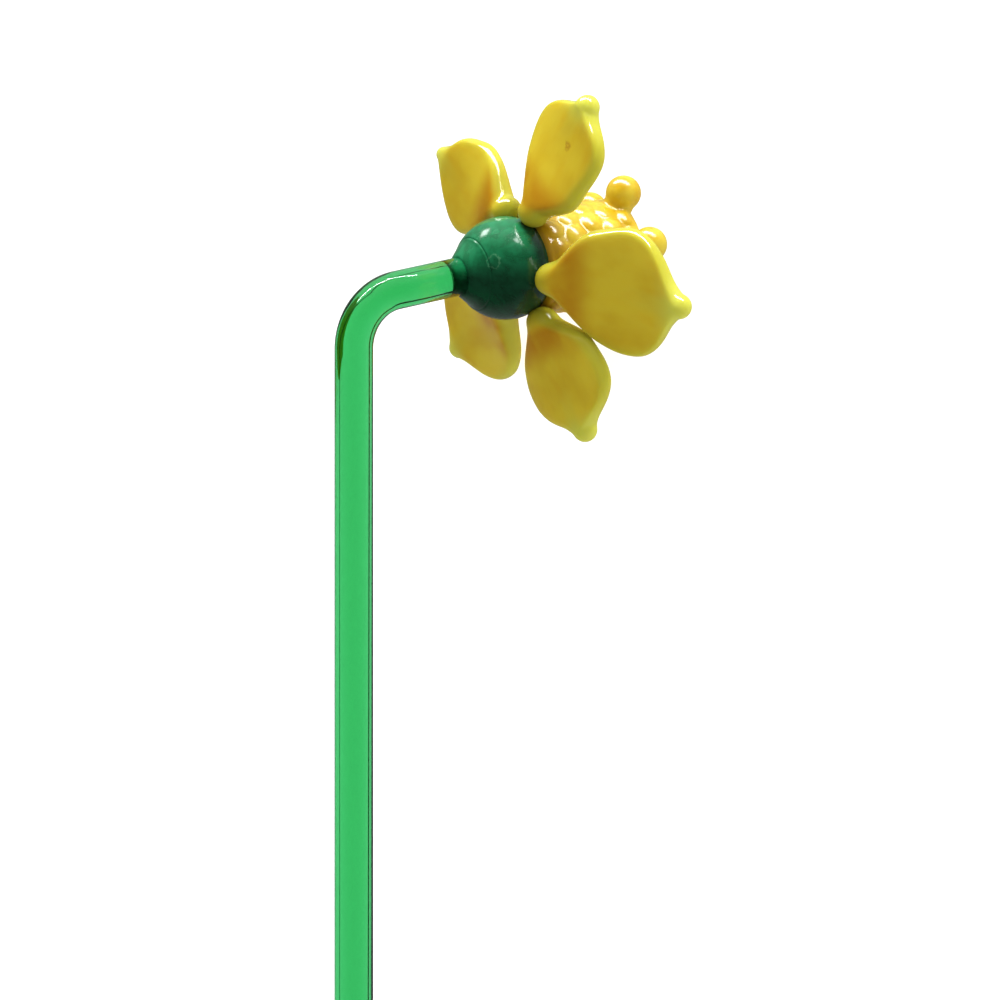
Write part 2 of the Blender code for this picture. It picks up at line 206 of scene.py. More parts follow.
def stem_rod():
    """The rod, from its melted end to where it disappears in the bead."""
    start = ROD_RADIUS - END_ROUNDING
    rod = ring("stem_rod", ROD_SIDES, start, Matrix.Translation((0, 0, -STEM_LENGTH)))
    bpy.ops.mesh.edge_face_add()
    bpy.ops.mesh.poke()
    pick(lambda place: place.xy.length > start / 2)
    before, low = start, -STEM_LENGTH
    for k in range(1, END_STEPS + 1):
        angle = math.pi / 2 * k / END_STEPS
        wide = start + END_ROUNDING * math.sin(angle)
        height = -STEM_LENGTH + END_ROUNDING * (1 - math.cos(angle))
        draw_out((0, 0, height - low), (wide / before, wide / before, 1), (0, 0, height))
        before, low = wide, height
    bpy.ops.mesh.extrude_region_move(
        TRANSFORM_OT_translate={"value": (0, 0, STEM_LENGTH - END_ROUNDING)})
    bpy.ops.mesh.spin(
        steps=BEND_STEPS, angle=bend_turn, center=(BEND_RADIUS, 0, 0), axis=(0, -1, 0))
    bpy.ops.mesh.extrude_region_move(
        TRANSFORM_OT_translate={"value": neck * (NECK_LENGTH + SUNK)})
    bpy.ops.mesh.edge_face_add()
    return finish(rod, 0, UPRIGHT)


stem = stem_rod()
print("stem:", len(stem.data.polygons), "faces")


# %% [markdown]
# ## The bead
# A dark green bead was wound on the end of the rod and marvered into a pod: a ball in front and a
# short cone behind, and some of its dark glass runs back into the end of the clear rod.
# Everything round like this is a profile turned about an axis. Here the ring is drawn out from
# height to height along the flower's axis, and a fine groove shows where the last wrap ended.

# %% Seed pod
BEAD_TAIL_RADIUS = 3.9 * MM
BEAD_CONE = math.radians(38)
BEAD_STEPS = 18
CORE_RADIUS = 3.2 * MM             # dark glass that ran back into the end of the rod
CORE_LENGTH = 3.0 * MM
SEAM_ANGLE = math.radians(44)      # where the last wrap ended, from the tail
SEAM_DEPTH = 0.13 * MM
SEAM_STEP = math.radians(1.2)
COLLAR = 0.2 * MM                  # how long the tail's flare from the rod is
POD_SIDES = 64


def bead_profile():
    """Height and radius of the pod from its tail to its front."""
    core_end, collar = -BEAD_TAIL - CORE_LENGTH, -BEAD_TAIL - COLLAR
    profile = [(core_end, 1.0 * MM), (core_end, CORE_RADIUS), (collar, CORE_RADIUS),
               (collar, ROD_RADIUS), (-BEAD_TAIL, BEAD_TAIL_RADIUS)]
    angles = [BEAD_CONE + (math.pi - BEAD_CONE) * k / BEAD_STEPS for k in range(BEAD_STEPS)]
    angles = [a for a in angles if abs(a - SEAM_ANGLE) > 2.5 * SEAM_STEP]
    angles += [SEAM_ANGLE + SEAM_STEP * k for k in (-2, -1, 0, 1, 2)]
    for angle in sorted(angles):
        radius = BEAD_RADIUS - (SEAM_DEPTH if angle == SEAM_ANGLE else 0)
        profile.append((-radius * math.cos(angle), radius * math.sin(angle)))
    profile.append((BEAD_RADIUS, POLE))
    return profile


def seed_pod():
    """The bead, laid in its place."""
    pod = turned("seed_pod", bead_profile(), POD_SIDES)
    return finish(pod, 2, HEAD)


pod = seed_pod()
print("pod:", len(pod.data.polygons), "faces")


# %% [markdown]
# ## The petals
# Each petal was drawn out of a gather of hot glass and squeezed flat in a paddle, which left a
# thick rounded rim, a round root where it was stuck on, and a small nub where the rod was pulled
# away. A ring is drawn out along the petal. Each new ring is scaled to the thickness wanted there,
# and then its two halves are moved apart to make the width, so that the rim always stays round.
# Scaling it sideways would be simpler, but it would give the rim a knife edge.

# %% Petal outline
ROOT_RADIUS = 3.2 * MM
ROOT_BACK = 1.2 * MM               # how far the root runs on inwards, into the trumpet
ROOT_OUT = 9.7 * MM
PETAL_CUP = 0.8 * MM
BELLY = 0.57                       # where PADDLE is widest
RIM_BAND = 2.2 * MM                # how wide the lime edge is
RING_SIDES = 16
HAIR = 0.01 * MM                   # closer than this to the middle plane counts as on it
TIP_SHIFT_START = 0.55
TIP_SHIFT_SPAN = 0.40
SHOULDER_PLACE = 0.24
SHOULDER_SPAN = 0.14
SHOULDER_START = 2.0 * MM

# clock angle, distance along the axis (mm), lean from the axis, swing in its own plane, roll,
# length and width (mm), where its two sides are widest, and in mm how far its tip is drawn
# sideways, how much fuller one side is near the root, and the radius of the nub
PETALS = {
    "petal_1": (97, 3.6, 91, 61, 9, 25.8, 18.7, 0.47, 0.63, -3.1, 0.0, 1.6),
    "petal_2": (57, 3.6, 74, -3, -2, 27.0, 20.4, 0.60, 0.61, -0.8, -2.0, 2.4),
    "petal_3": (-15, 2.0, 64, -1, 1, 31.1, 24.0, 0.57, 0.58, -0.8, 1.4, 2.4),
    "petal_4": (-67, 3.4, 83, -9, -2, 25.2, 24.2, 0.50, 0.56, 0.0, 1.2, 2.4),
    "petal_5": (221, 3.7, 84, -24, -13, 28.7, 22.6, 0.45, 0.54, 0.9, 0.0, 2.2),
}

# place along the petal, half width as a share of the widest, half thickness of the rim and of
# the middle (mm)
PADDLE = (
    (0.10, 0.28, 2.9, 2.9),
    (0.20, 0.50, 2.6, 2.6),
    (0.32, 0.78, 2.1, 2.1),
    (0.45, 0.94, 1.8, 1.65),
    (BELLY, 1.00, 1.7, 1.5),
    (0.69, 0.94, 1.7, 1.6),
    (0.79, 0.70, 1.8, 1.9),
    (0.86, 0.38, 2.0, 2.2),
)


# %% Rows along a petal
def catmull_rom(rows, steps):
    """Rows on a smooth curve through the given rows, steps to each stretch."""
    padded = [rows[0], *rows, rows[-1]]
    points = []
    for a, b, c, d in zip(padded, padded[1:], padded[2:], padded[3:]):
        for k in range(steps):
            t = k / steps
            points.append(tuple(
                0.5 * (2 * q + (r - p) * t + (2 * p - 5 * q + 4 * r - s) * t ** 2
                       + (3 * q - p - 3 * r + s) * t ** 3)
                for p, q, r, s in zip(a, b, c, d)
            ))
    return [*points, rows[-1]]


def petal_rows(length, width, bellies, radius):
    """Rows: place along each side, half width, half thickness at the rim and in the middle."""
    rows = []
    for k in (1, 2, 3):
        angle = math.pi / 8 * k
        along = ROOT_RADIUS * (1 - math.cos(angle)) - ROOT_BACK
        small = ROOT_RADIUS * math.sin(angle)
        rows.append((along, along, small, small, small))
    outline = []
    for share, half, rim, centre in PADDLE:
        if share <= BELLY:
            early, late = (share * belly / BELLY for belly in bellies)
        else:
            early, late = (1 - (1 - share) * (1 - belly) / (1 - BELLY) for belly in bellies)
        outline.append((early * length, late * length, half * width / 2, rim * MM, centre * MM))
    nub = length - radius
    outline.append((nub, nub, radius, radius, radius))
    rows += catmull_rom(outline, 2)
    for k in (1, 2, 3):
        angle = math.pi / 8 * k
        along, small = nub + radius * math.sin(angle), radius * math.cos(angle)
        rows.append((along, along, small, small, small))
    return rows


# %% Pressing a petal
def pressed_petal(name, length, rows):
    """The petal's cage along Y, its face to the front along Z, smoothed by subdivision."""
    start = rows[0][2]
    lying = Matrix.Rotation(math.pi / 2, 4, "X")
    petal = ring(name, RING_SIDES, start, Matrix.Translation((0, rows[0][0], 0)) @ lying)
    bpy.ops.mesh.edge_face_add()
    bpy.ops.mesh.poke()
    pick(lambda place: place.xz.length > start / 2)
    before, thick, flat, centre_before = rows[0][0], start, 0.0, start
    for early, late, half, rim, centre in rows[1:]:
        along = (early + late) / 2
        round_part = min(half, rim)
        grow = round_part / thick
        draw_out((0, along - before, 0), (grow, 1, grow), (0, along, 0))
        apart = max(half - rim, 0.0) - flat * grow
        lift = centre - centre_before * grow
        here = along - HAIR
        for sign in (1, -1):
            pick(lambda place: place.y > here and place.x * sign > HAIR)
            bpy.ops.transform.translate(value=(sign * apart, 0, 0))
            pick(lambda place: place.y > here and abs(place.x) <= HAIR and place.z * sign > 0)
            bpy.ops.transform.translate(value=(0, 0, sign * lift))
        pick(lambda place: place.y > here)
        before, thick, flat, centre_before = along, round_part, max(half - rim, 0.0), centre
    bpy.ops.mesh.extrude_region_move(TRANSFORM_OT_translate={"value": (0, length - before, 0)})
    bpy.ops.mesh.merge(type="CENTER")
    return finish(petal, 2)


# %% Bending it and standing it on the head
def bend_and_note(petal, length, width, tip_shift, shoulder, rows):
    """Notes where each point is on the petal, for the glass, and bends sides and tip."""
    data = petal.data
    reach, rim, across, laid = [], [], [], []
    for vertex in data.vertices:
        x, y, z = vertex.co
        half, skew = rows[0][2], 0.0
        for low, high in zip(rows, rows[1:]):
            low_y, high_y = (low[0] + low[1]) / 2, (high[0] + high[1]) / 2
            if low_y <= y <= high_y:
                share = (y - low_y) / (high_y - low_y)
                half = low[2] + (high[2] - low[2]) * share
                skew = low[1] - low[0] + (high[1] - high[0] - low[1] + low[0]) * share
        reach.append(y / length)
        rim.append(smooth_step(1 - (half - abs(x)) / RIM_BAND))
        across.append(x)
        laid += [x, y, 10 * length + z]
        y += skew / 2 * x / half
        fuller = shoulder * math.exp(-((y / length - SHOULDER_PLACE) / SHOULDER_SPAN) ** 2)
        if x * fuller > 0:
            x += fuller * min(abs(x) / SHOULDER_START, 1.0)
        z += PETAL_CUP * (2 * x / width) ** 2
        x += tip_shift * smooth_step((y / length - TIP_SHIFT_START) / TIP_SHIFT_SPAN)
        vertex.co = (x, y, z)
    for label, values in (("reach", reach), ("rim", rim), ("across", across)):
        data.attributes.new(label, "FLOAT", "POINT").data.foreach_set("value", values)
    data.attributes.new("laid", "FLOAT_VECTOR", "POINT").data.foreach_set("vector", laid)


def petal_place(clock, along, lean, swing, roll):
    """Matrix that stands a petal on the head."""
    clock, lean = math.radians(clock), math.radians(lean)
    out = out_from_axis(0, 1, clock)
    forward = Vector((0, 0, 1)) * math.cos(lean) + out * math.sin(lean)
    across = out_from_axis(0, 1, clock + math.pi / 2)
    turn = Matrix((across, forward, across.cross(forward))).transposed().to_4x4()
    swing = Matrix.Rotation(-math.radians(swing), 4, "Z")
    roll = Matrix.Rotation(math.radians(roll), 4, "Y")
    root = out_from_axis(along * MM, ROOT_OUT, clock)
    return Matrix.Translation(root) @ turn @ swing @ roll


# %% Five petals
petals = {}
for name, (*stance, length, width, early, late, tip_shift, shoulder, nub) in PETALS.items():
    length, width = length * MM, width * MM
    rows = petal_rows(length, width, (early, late), nub * MM)
    petal = pressed_petal("pressed_" + name, length, rows)
    bend_and_note(petal, length, width, tip_shift * MM, shoulder * MM, rows)
    petal.data.transform(HEAD @ petal_place(*stance))
    petals[name] = petal
    print(petal.name, len(petal.data.polygons), "faces")

# %% [markdown]
# ## The trumpet
# The trumpet was wound in five rounds and pressed into rows of low bumps, and its rim was dotted
# with five balls of glass that sank into it. A cup is turned first: up the outside, over the
# rim and down into the hollow. Balls are added on the rim, each with a smaller one behind it that
# joins it to the wall. Voxel remesh then melts them into one skin, and a Smooth modifier rounds
# the creases, much as the flame did. The rounds and bumps are pushed into that skin afterwards.

# %% Cup and knobs
TRUMPET_BACK = 5.0 * MM
TRUMPET_RIM = 24.9 * MM
TRUMPET_RADIUS = 9.3 * MM
TRUMPET_SWELL = 0.7 * MM           # how much fuller the wall is half way
TRUMPET_SIDES = 72
WALL_STEPS = 10
CUP_BOTTOM = 13.5 * MM             # the hollow's floor, from the bead's centre
CUP_ROUND = 4.0 * MM
CUP_BOTTOM_RADIUS = 5.5 * MM
CUP_MOUTH_RADIUS = 6.5 * MM
KNOB_CLOCKS = (1, 65, 137, 209, 281)   # degrees from the side axis towards the crown
KNOB_RADIUS = 3.3 * MM
KNOB_REACH = 11.0 * MM
KNOB_BACK = 0.4 * MM
INNER_BACK = 0.9 * MM              # the smaller ball, behind and inside the knob
INNER_IN = 2.2 * MM
INNER_SHARE = 0.85
MELT = 0.28 * MM                   # voxel size of the remesh
MELT_PASSES = 14


def trumpet_share(along):
    """Place along the trumpet, 0 at its back and 1 at its rim."""
    return (along - TRUMPET_BACK) / (TRUMPET_RIM - TRUMPET_BACK)


def trumpet_radius(along):
    """Radius of the outside of the wall."""
    return TRUMPET_RADIUS + TRUMPET_SWELL * math.sin(math.pi * trumpet_share(along))


def trumpet_profile():
    """Up the outside, over the lip, and down the hollow to its floor."""
    profile = [(TRUMPET_BACK - 1.5 * MM, 0.8 * MM), (TRUMPET_BACK - 1.5 * MM, 7.0 * MM)]
    for k in range(WALL_STEPS + 1):
        along = TRUMPET_BACK + (TRUMPET_RIM - 1.2 * MM - TRUMPET_BACK) * k / WALL_STEPS
        profile.append((along, trumpet_radius(along) - 0.2 * MM))
    middle_wall = (TRUMPET_RADIUS + CUP_MOUTH_RADIUS) / 2
    profile.append((TRUMPET_RIM - 0.3 * MM, TRUMPET_RADIUS - 0.6 * MM))
    profile.append((TRUMPET_RIM, middle_wall))
    profile.append((TRUMPET_RIM - 0.3 * MM, CUP_MOUTH_RADIUS + 0.5 * MM))
    profile.append((TRUMPET_RIM - 1.5 * MM, CUP_MOUTH_RADIUS))
    for k in (4, 3, 2, 1):
        angle = math.pi / 8 * k
        along = CUP_BOTTOM + CUP_ROUND * (1 - math.cos(angle))
        profile.append((along, CUP_BOTTOM_RADIUS * math.sin(angle)))
    profile.append((CUP_BOTTOM, POLE))
    return profile


# %% Winding it
def add_ball(centre, radius):
    """A ball added in edit mode, so that it joins the piece being edited."""
    bpy.ops.mesh.primitive_uv_sphere_add(
        segments=24, ring_count=16, radius=radius, location=centre)


def wound_trumpet():
    """Cup and knobs melted into one skin, standing along Z."""
    cup = turned("wound_trumpet", trumpet_profile(), TRUMPET_SIDES)
    knob_along = TRUMPET_RIM - KNOB_BACK
    for clock in map(math.radians, KNOB_CLOCKS):
        add_ball(out_from_axis(knob_along, KNOB_REACH, clock), KNOB_RADIUS)
        add_ball(out_from_axis(knob_along - INNER_BACK, KNOB_REACH - INNER_IN, clock),
                 KNOB_RADIUS * INNER_SHARE)
    finish(cup, 0)
    apply_modifier(cup, "REMESH", mode="VOXEL", voxel_size=MELT)
    apply_modifier(cup, "SMOOTH", factor=0.5, iterations=MELT_PASSES)
    bpy.ops.object.shade_smooth()
    return cup


# %% Rings and bumps
RING_COUNT = 5
RING_DEPTH = 0.12 * MM
BUMP_COUNT = 14                    # to each round
BUMP_HEIGHT = 0.46 * MM
SMOOTH_CLOCK = math.radians(95)    # the side that was pressed smooth again
SMOOTH_SPREAD = math.radians(40)


def press_relief(cup):
    """Pushes the wound rings and the staggered bumps into the outside of the wall."""
    creases, shares = [], []
    for vertex in cup.data.vertices:
        x, y, along = vertex.co
        out = math.hypot(x, y)
        share = min(max(trumpet_share(along), 0.0), 1.0)
        wall = trumpet_radius(along)
        on_skin = smooth_step((out - wall + 1.3 * MM) / (0.8 * MM))
        on_skin *= smooth_step((wall + 1.1 * MM - out) / (0.6 * MM))
        on_skin *= smooth_step(share / 0.06) * smooth_step((0.97 - share) / 0.10)
        clock = math.atan2(x, y)
        turn = share * RING_COUNT
        crest = math.sin(math.pi * turn) ** 2
        across = 2 * (turn % 1) - 1
        round_about = (BUMP_COUNT * clock / math.pi + int(turn)) % 2 - 1
        dome = max(1 - across ** 2 - round_about ** 2, 0.0) ** 0.8
        dome *= 1 - 0.85 * math.exp(-((clock - SMOOTH_CLOCK) / SMOOTH_SPREAD) ** 2)
        push = RING_DEPTH * (crest - 1) + BUMP_HEIGHT * dome
        vertex.co += Vector((x, y, 0)).normalized() * (push * on_skin)
        # how deep in a hollow each point lies: the glass is darker there, partly its amber and
        # partly painted shade
        creases.append(on_skin * (1 - crest) * (1 - dome))
        shares.append(share)
    for label, values in (("crease", creases), ("share", shares)):
        cup.data.attributes.new(label, "FLOAT", "POINT").data.foreach_set("value", values)


trumpet = wound_trumpet()
press_relief(trumpet)
trumpet.data.transform(HEAD)
print("trumpet:", len(trumpet.data.polygons), "faces")

# %% [markdown]
# ## Ground flat where it rests
# The flower rests on the end of its stem, the nub of one petal and one knob of the trumpet. Each
# is slightly flat there. Bisect cuts a piece by the table's plane, throws away what is below, and
# fills the cut.

# %% Three flat spots
def grind(piece):
    """Cuts off what is below the table and closes the cut."""
    bpy.ops.object.select_all(action="DESELECT")
    bpy.context.view_layer.objects.active = piece
    piece.select_set(True)
    bpy.ops.object.mode_set(mode="EDIT")
    bpy.ops.mesh.select_all(action="SELECT")
    bpy.ops.mesh.bisect(
        plane_co=(0, 0, 0), plane_no=(0, 0, 1), use_fill=True, clear_inner=True, threshold=1e-6)
    bpy.ops.object.mode_set(mode="OBJECT")
    for vertex in piece.data.vertices:
        vertex.co.z = max(vertex.co.z, 0.0)


for piece in (stem, trumpet, petals["petal_5"]):
    grind(piece)

# %% [markdown]
# ## Glass
# All of it is glass, so all of it is glossy, with an index of refraction near 1.5. What differs
# is how much light goes in: the rod is clear and coloured through its depth, the bead is dark and
# opaque, and the yellow glass is cloudy, as if it were a little soapy inside.

# %% Colours and nodes
ROD_IOR = 1.47                     # the coloured glass bends light a little more
GLASS_IOR = 1.5
SOFT = {"interpolation_type": "SMOOTHSTEP"}
TIMES = {"operation": "MULTIPLY"}


def srgb(code):
    """Linear colour of an sRGB hex code."""
    parts = [int(code[i:i + 2], 16) / 255 for i in (1, 3, 5)]
    return (*[p / 12.92 if p <= 0.04045 else ((p + 0.055) / 1.055) ** 2.4 for p in parts], 1.0)


def node(tree, kind, settings=None, **inputs):
    """Adds a node, sets its properties, and sets its inputs or links them. An input that is
    given as a node is linked to that node's first output."""
    made = tree.nodes.new(kind)
    for name, value in (settings or {}).items():
        setattr(made, name, value)
    for name, value in inputs.items():
        key = int(name[1:]) if name[1:].isdigit() else name.replace("_", " ")
        if isinstance(value, bpy.types.Node):
            value = value.outputs[0]
        if isinstance(value, bpy.types.NodeSocket):
            tree.links.new(value, made.inputs[key])
        else:
            made.inputs[key].default_value = value
    return made


def new_material(name):
    """An empty material and its node tree."""
    material = bpy.data.materials.new(name)
    material.use_nodes = True
    material.node_tree.nodes.clear()
    return material, material.node_tree


def lay_over(tree, colour, *layers):
    """Lays colours over a colour. A layer is where it lies, how dense it is, and its colour."""
    for where, dense, code in layers:
        share = node(tree, "ShaderNodeMath", TIMES, i0=where, i1=dense)
        mixed = node(tree, "ShaderNodeMix", {"data_type": "RGBA"}, i0=share, i6=colour,
                     i7=srgb(code))
        colour = mixed.outputs[2]
    return colour


# %% Clear green rod
def rod_glass():
    """Clear coloured borosilicate: the colour is in its depth, and lamps shine through it."""
    material, tree = new_material("clear green borosilicate rod")
    body = node(tree, "ShaderNodeBsdfPrincipled", Base_Color=srgb("#FFFFFF"), Roughness=0.0,
                IOR=ROD_IOR, Transmission_Weight=1.0)
    path = node(tree, "ShaderNodeLightPath")
    open_way = node(tree, "ShaderNodeBsdfTransparent")
    mixed = node(tree, "ShaderNodeMixShader", i0=path.outputs["Is Shadow Ray"], i1=body,
                 i2=open_way)
    depth = node(tree, "ShaderNodeVolumeAbsorption", Color=srgb("#00DD9A"), Density=509.0)
    node(tree, "ShaderNodeOutputMaterial", Surface=mixed.outputs[0], Volume=depth.outputs[0])
    return material


# %% Clouds, streaks and scars
POD_SCAR = HEAD @ (Vector((0.20, 0.73, -0.65)).normalized() * BEAD_RADIUS)
ASH_PLACE = HEAD @ petal_place(*PETALS["petal_2"][:5]) @ Vector((-2.3 * MM, 17.2 * MM, -1.6 * MM))


def cloud(tree, size, **mapping):
    """Soft cloudiness in Object coordinates, with clouds of the given size."""
    place = node(tree, "ShaderNodeTexCoord").outputs["Object"]
    turned_place = node(tree, "ShaderNodeMapping", Vector=place, **mapping)
    return node(tree, "ShaderNodeTexNoise", Vector=turned_place, Scale=1 / size, Detail=3.0,
                Roughness=0.5)


def streaks(tree, size, stretch):
    """Cloudiness along a petal, in its own coordinates before it was bent and placed."""
    laid = node(tree, "ShaderNodeAttribute", {"attribute_name": "laid"}).outputs["Vector"]
    drawn = node(tree, "ShaderNodeMapping", Vector=laid, Scale=(1, 1 / stretch, 1))
    return node(tree, "ShaderNodeTexNoise", Vector=drawn, Scale=1 / size, Detail=3.0,
                Roughness=0.5)


def scar(tree, centre, radius, width):
    """An irregular ring round a point, 1 on the ring and 0 off it."""
    place = node(tree, "ShaderNodeTexCoord").outputs["Object"]
    wander = node(tree, "ShaderNodeTexNoise", Vector=place, Scale=1 / (0.9 * MM), Detail=4.0,
                  Roughness=0.7)
    moved = node(tree, "ShaderNodeVectorMath", {"operation": "MULTIPLY_ADD"},
                 i0=wander.outputs["Color"], i1=(2 * MM, 2 * MM, 2 * MM), i2=place)
    middle = Vector(centre) + Vector((1, 1, 1)) * MM
    far = node(tree, "ShaderNodeVectorMath", {"operation": "DISTANCE"}, i0=moved, i1=middle)
    off = node(tree, "ShaderNodeMath", {"operation": "SUBTRACT"}, i0=far.outputs["Value"],
               i1=radius)
    off = node(tree, "ShaderNodeMath", {"operation": "ABSOLUTE"}, i0=off)
    return node(tree, "ShaderNodeMapRange", SOFT, Value=off, From_Min=width, From_Max=0.0)


# %% Dark green pod
def pod_glass():
    """Opaque dark green, wound and marvered: faint drawn lines, and a scar from the flame."""
    material, tree = new_material("dark green wound glass")
    turn = HEAD.to_3x3().inverted().to_euler()
    flow = cloud(tree, 1.6 * MM, Rotation=turn, Scale=(1.0, 1.0, 0.12))
    lines = node(tree, "ShaderNodeMapRange", SOFT, Value=flow, From_Min=0.35, From_Max=0.65)
    mark = scar(tree, POD_SCAR, 1.2 * MM, 0.18 * MM)
    colour = lay_over(tree, srgb("#05301A"), (lines, 1.0, "#083A22"), (mark, 0.07, "#7FB08A"))
    height = node(tree, "ShaderNodeMath", {"operation": "ADD"}, i0=flow, i1=mark)
    bump = node(tree, "ShaderNodeBump", Height=height, Strength=0.12, Distance=0.05 * MM)
    body = node(tree, "ShaderNodeBsdfPrincipled", Base_Color=colour, Roughness=0.16,
                IOR=GLASS_IOR, Normal=bump)
    node(tree, "ShaderNodeOutputMaterial", Surface=body)
    return material


# %% Cloudy yellow
def cloudy_glass(tree, colour, height, roughness):
    """Cloudy yellow glass: light goes in a little and comes out warmer."""
    bump = node(tree, "ShaderNodeBump", Height=height, Strength=0.12, Distance=0.15 * MM)
    body = node(tree, "ShaderNodeBsdfPrincipled", Base_Color=colour, Roughness=roughness,
                IOR=GLASS_IOR, Subsurface_Weight=0.4, Subsurface_Scale=2 * MM, Normal=bump)
    body.inputs["Subsurface Radius"].default_value = (1.0, 0.8, 0.15)
    node(tree, "ShaderNodeOutputMaterial", Surface=body)


def petal_glass():
    """Golden yellow with drawn clouds, amber by the root, lime at nub and rim, painted light on
    one side.
    """
    material, tree = new_material("pressed cloudy yellow glass")
    reach, rim, across = (
        node(tree, "ShaderNodeAttribute", {"attribute_name": name}).outputs["Fac"]
        for name in ("reach", "rim", "across"))
    apart = node(tree, "ShaderNodeMath", {"operation": "ABSOLUTE"}, i0=across)
    wide, fine = streaks(tree, 7 * MM, 1.6), streaks(tree, 2.5 * MM, 3.0)
    # each goes smoothly from 0 to 1 between two values
    where = {
        "clouds": (wide, 0.32, 0.68),
        "amber clouds": (wide, 0.22, 0.52),
        "wisps": (fine, 0.50, 0.75),
        "one side": (across, 1 * MM, 10 * MM),
        "past the root": (reach, 0.06, 0.16),
        "inner part": (reach, 0.42, 0.20),
        "root": (reach, 0.12, 0.02),
        "outer part": (reach, 0.5, 0.9),
        "middle line": (apart, 2.6 * MM, 0.8 * MM),
        "nub": (reach, 0.76, 0.95),
    }
    for name, (value, low, high) in where.items():
        where[name] = node(tree, "ShaderNodeMapRange", SOFT, Value=value, From_Min=low,
                           From_Max=high)
    near_root = node(tree, "ShaderNodeMath", TIMES, i0=where["inner part"],
                     i1=where["past the root"])
    amber = node(tree, "ShaderNodeMath", TIMES, i0=near_root, i1=where["amber clouds"])
    drawn = node(tree, "ShaderNodeMath", TIMES, i0=where["outer part"], i1=where["middle line"])
    colour = lay_over(
        tree, srgb("#C6A622"),
        (where["clouds"], 1.0, "#D2BA2E"),
        (where["wisps"], 0.2, "#D0A31A"),
        # one side of each petal is painted lighter: a painted highlight where light falls on it
        (where["one side"], 0.2, "#E2D03C"),
        (amber, 0.85, "#B0760A"),
        (rim, 0.7, "#B7BC3E"),
        (drawn, 0.35, "#C6C244"),
        (where["root"], 0.7, "#A39C2A"),
        (where["nub"], 1.0, "#CBCB4E"),
        (scar(tree, ASH_PLACE, 0.55 * MM, 0.5 * MM), 0.55, "#9C641A"))
    cloudy_glass(tree, colour, fine, 0.10)
    return material


def trumpet_glass():
    """Deeper cloudy yellow; its back and the creases between the wound rounds are darker amber,
    partly the glass and partly painted shade.
    """
    material, tree = new_material("wound cloudy yellow glass")
    share, crease = (
        node(tree, "ShaderNodeAttribute", {"attribute_name": name}).outputs["Fac"]
        for name in ("share", "crease"))
    noise = cloud(tree, 4 * MM)
    clouds = node(tree, "ShaderNodeMapRange", SOFT, Value=noise, From_Min=0.38, From_Max=0.62)
    back_amber_and_shade = node(tree, "ShaderNodeMapRange", SOFT, Value=share, From_Min=0.28, From_Max=0.02)
    crease_amber_and_shade = node(tree, "ShaderNodeMapRange", SOFT, Value=crease, From_Min=0.5, From_Max=1.0)
    # the back is darker amber, partly the glass and partly painted shade between the petals and
    # the bead
    colour = lay_over(tree, srgb("#C4A31C"), (clouds, 1.0, "#CFB936"), (back_amber_and_shade, 0.85, "#9C740C"),
                      # the creases are darker amber, partly the glass and partly painted shade in
                      # the hollows
                      (crease_amber_and_shade, 0.25, "#BE8C0F"))
    cloudy_glass(tree, colour, noise, 0.21)
    return material


# %% Glass on the pieces
stem.data.materials.append(rod_glass())
pod.data.materials.append(pod_glass())
trumpet.data.materials.append(trumpet_glass())
yellow = petal_glass()
for petal in petals.values():
    petal.data.materials.append(yellow)
print("glass:", ", ".join(material.name for material in bpy.data.materials if material.users))

# %% [markdown]
# ## Which solid each piece stands for
# Every piece rides on the one rigid body and hides the plain solid that it replaces.

# %% Riding on the frame
for piece, solid, finish_slot in (
    (stem, "stem", "stem_glass"),
    (pod, "bead", "bead_glass"),
    (trumpet, "trumpet", "trumpet_glass"),
    *((petals[name], name, "petal_glass") for name in PETALS),
):
    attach(piece, "root")
    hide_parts(solid)

# %% [markdown]
# ## Table, light and camera
# Glass shows its shape best in a white tent: a pale table, soft light from everywhere, and long
# bright panels, whose reflections draw its roundness. Each kind of glass has its own panels,
# because a dark bead needs more light than yellow glass, and a clear rod needs only one thin
# streak. Black cards beside the rod give its edges their dark lines.

# %% Table
TABLE_SIZE = 2.4


def white_paint():
    """Matt paint, as pale as the tent."""
    material, tree = new_material("white table paint")
    body = node(tree, "ShaderNodeBsdfPrincipled", Base_Color=srgb("#F3F3F3"), Roughness=0.7)
    node(tree, "ShaderNodeOutputMaterial", Surface=body)
    return material


bpy.ops.object.select_all(action="DESELECT")
bpy.ops.mesh.primitive_plane_add(size=TABLE_SIZE)
table = bpy.context.object
table.name = "table"
table.data.materials.append(white_paint())
table.visible_glossy = False

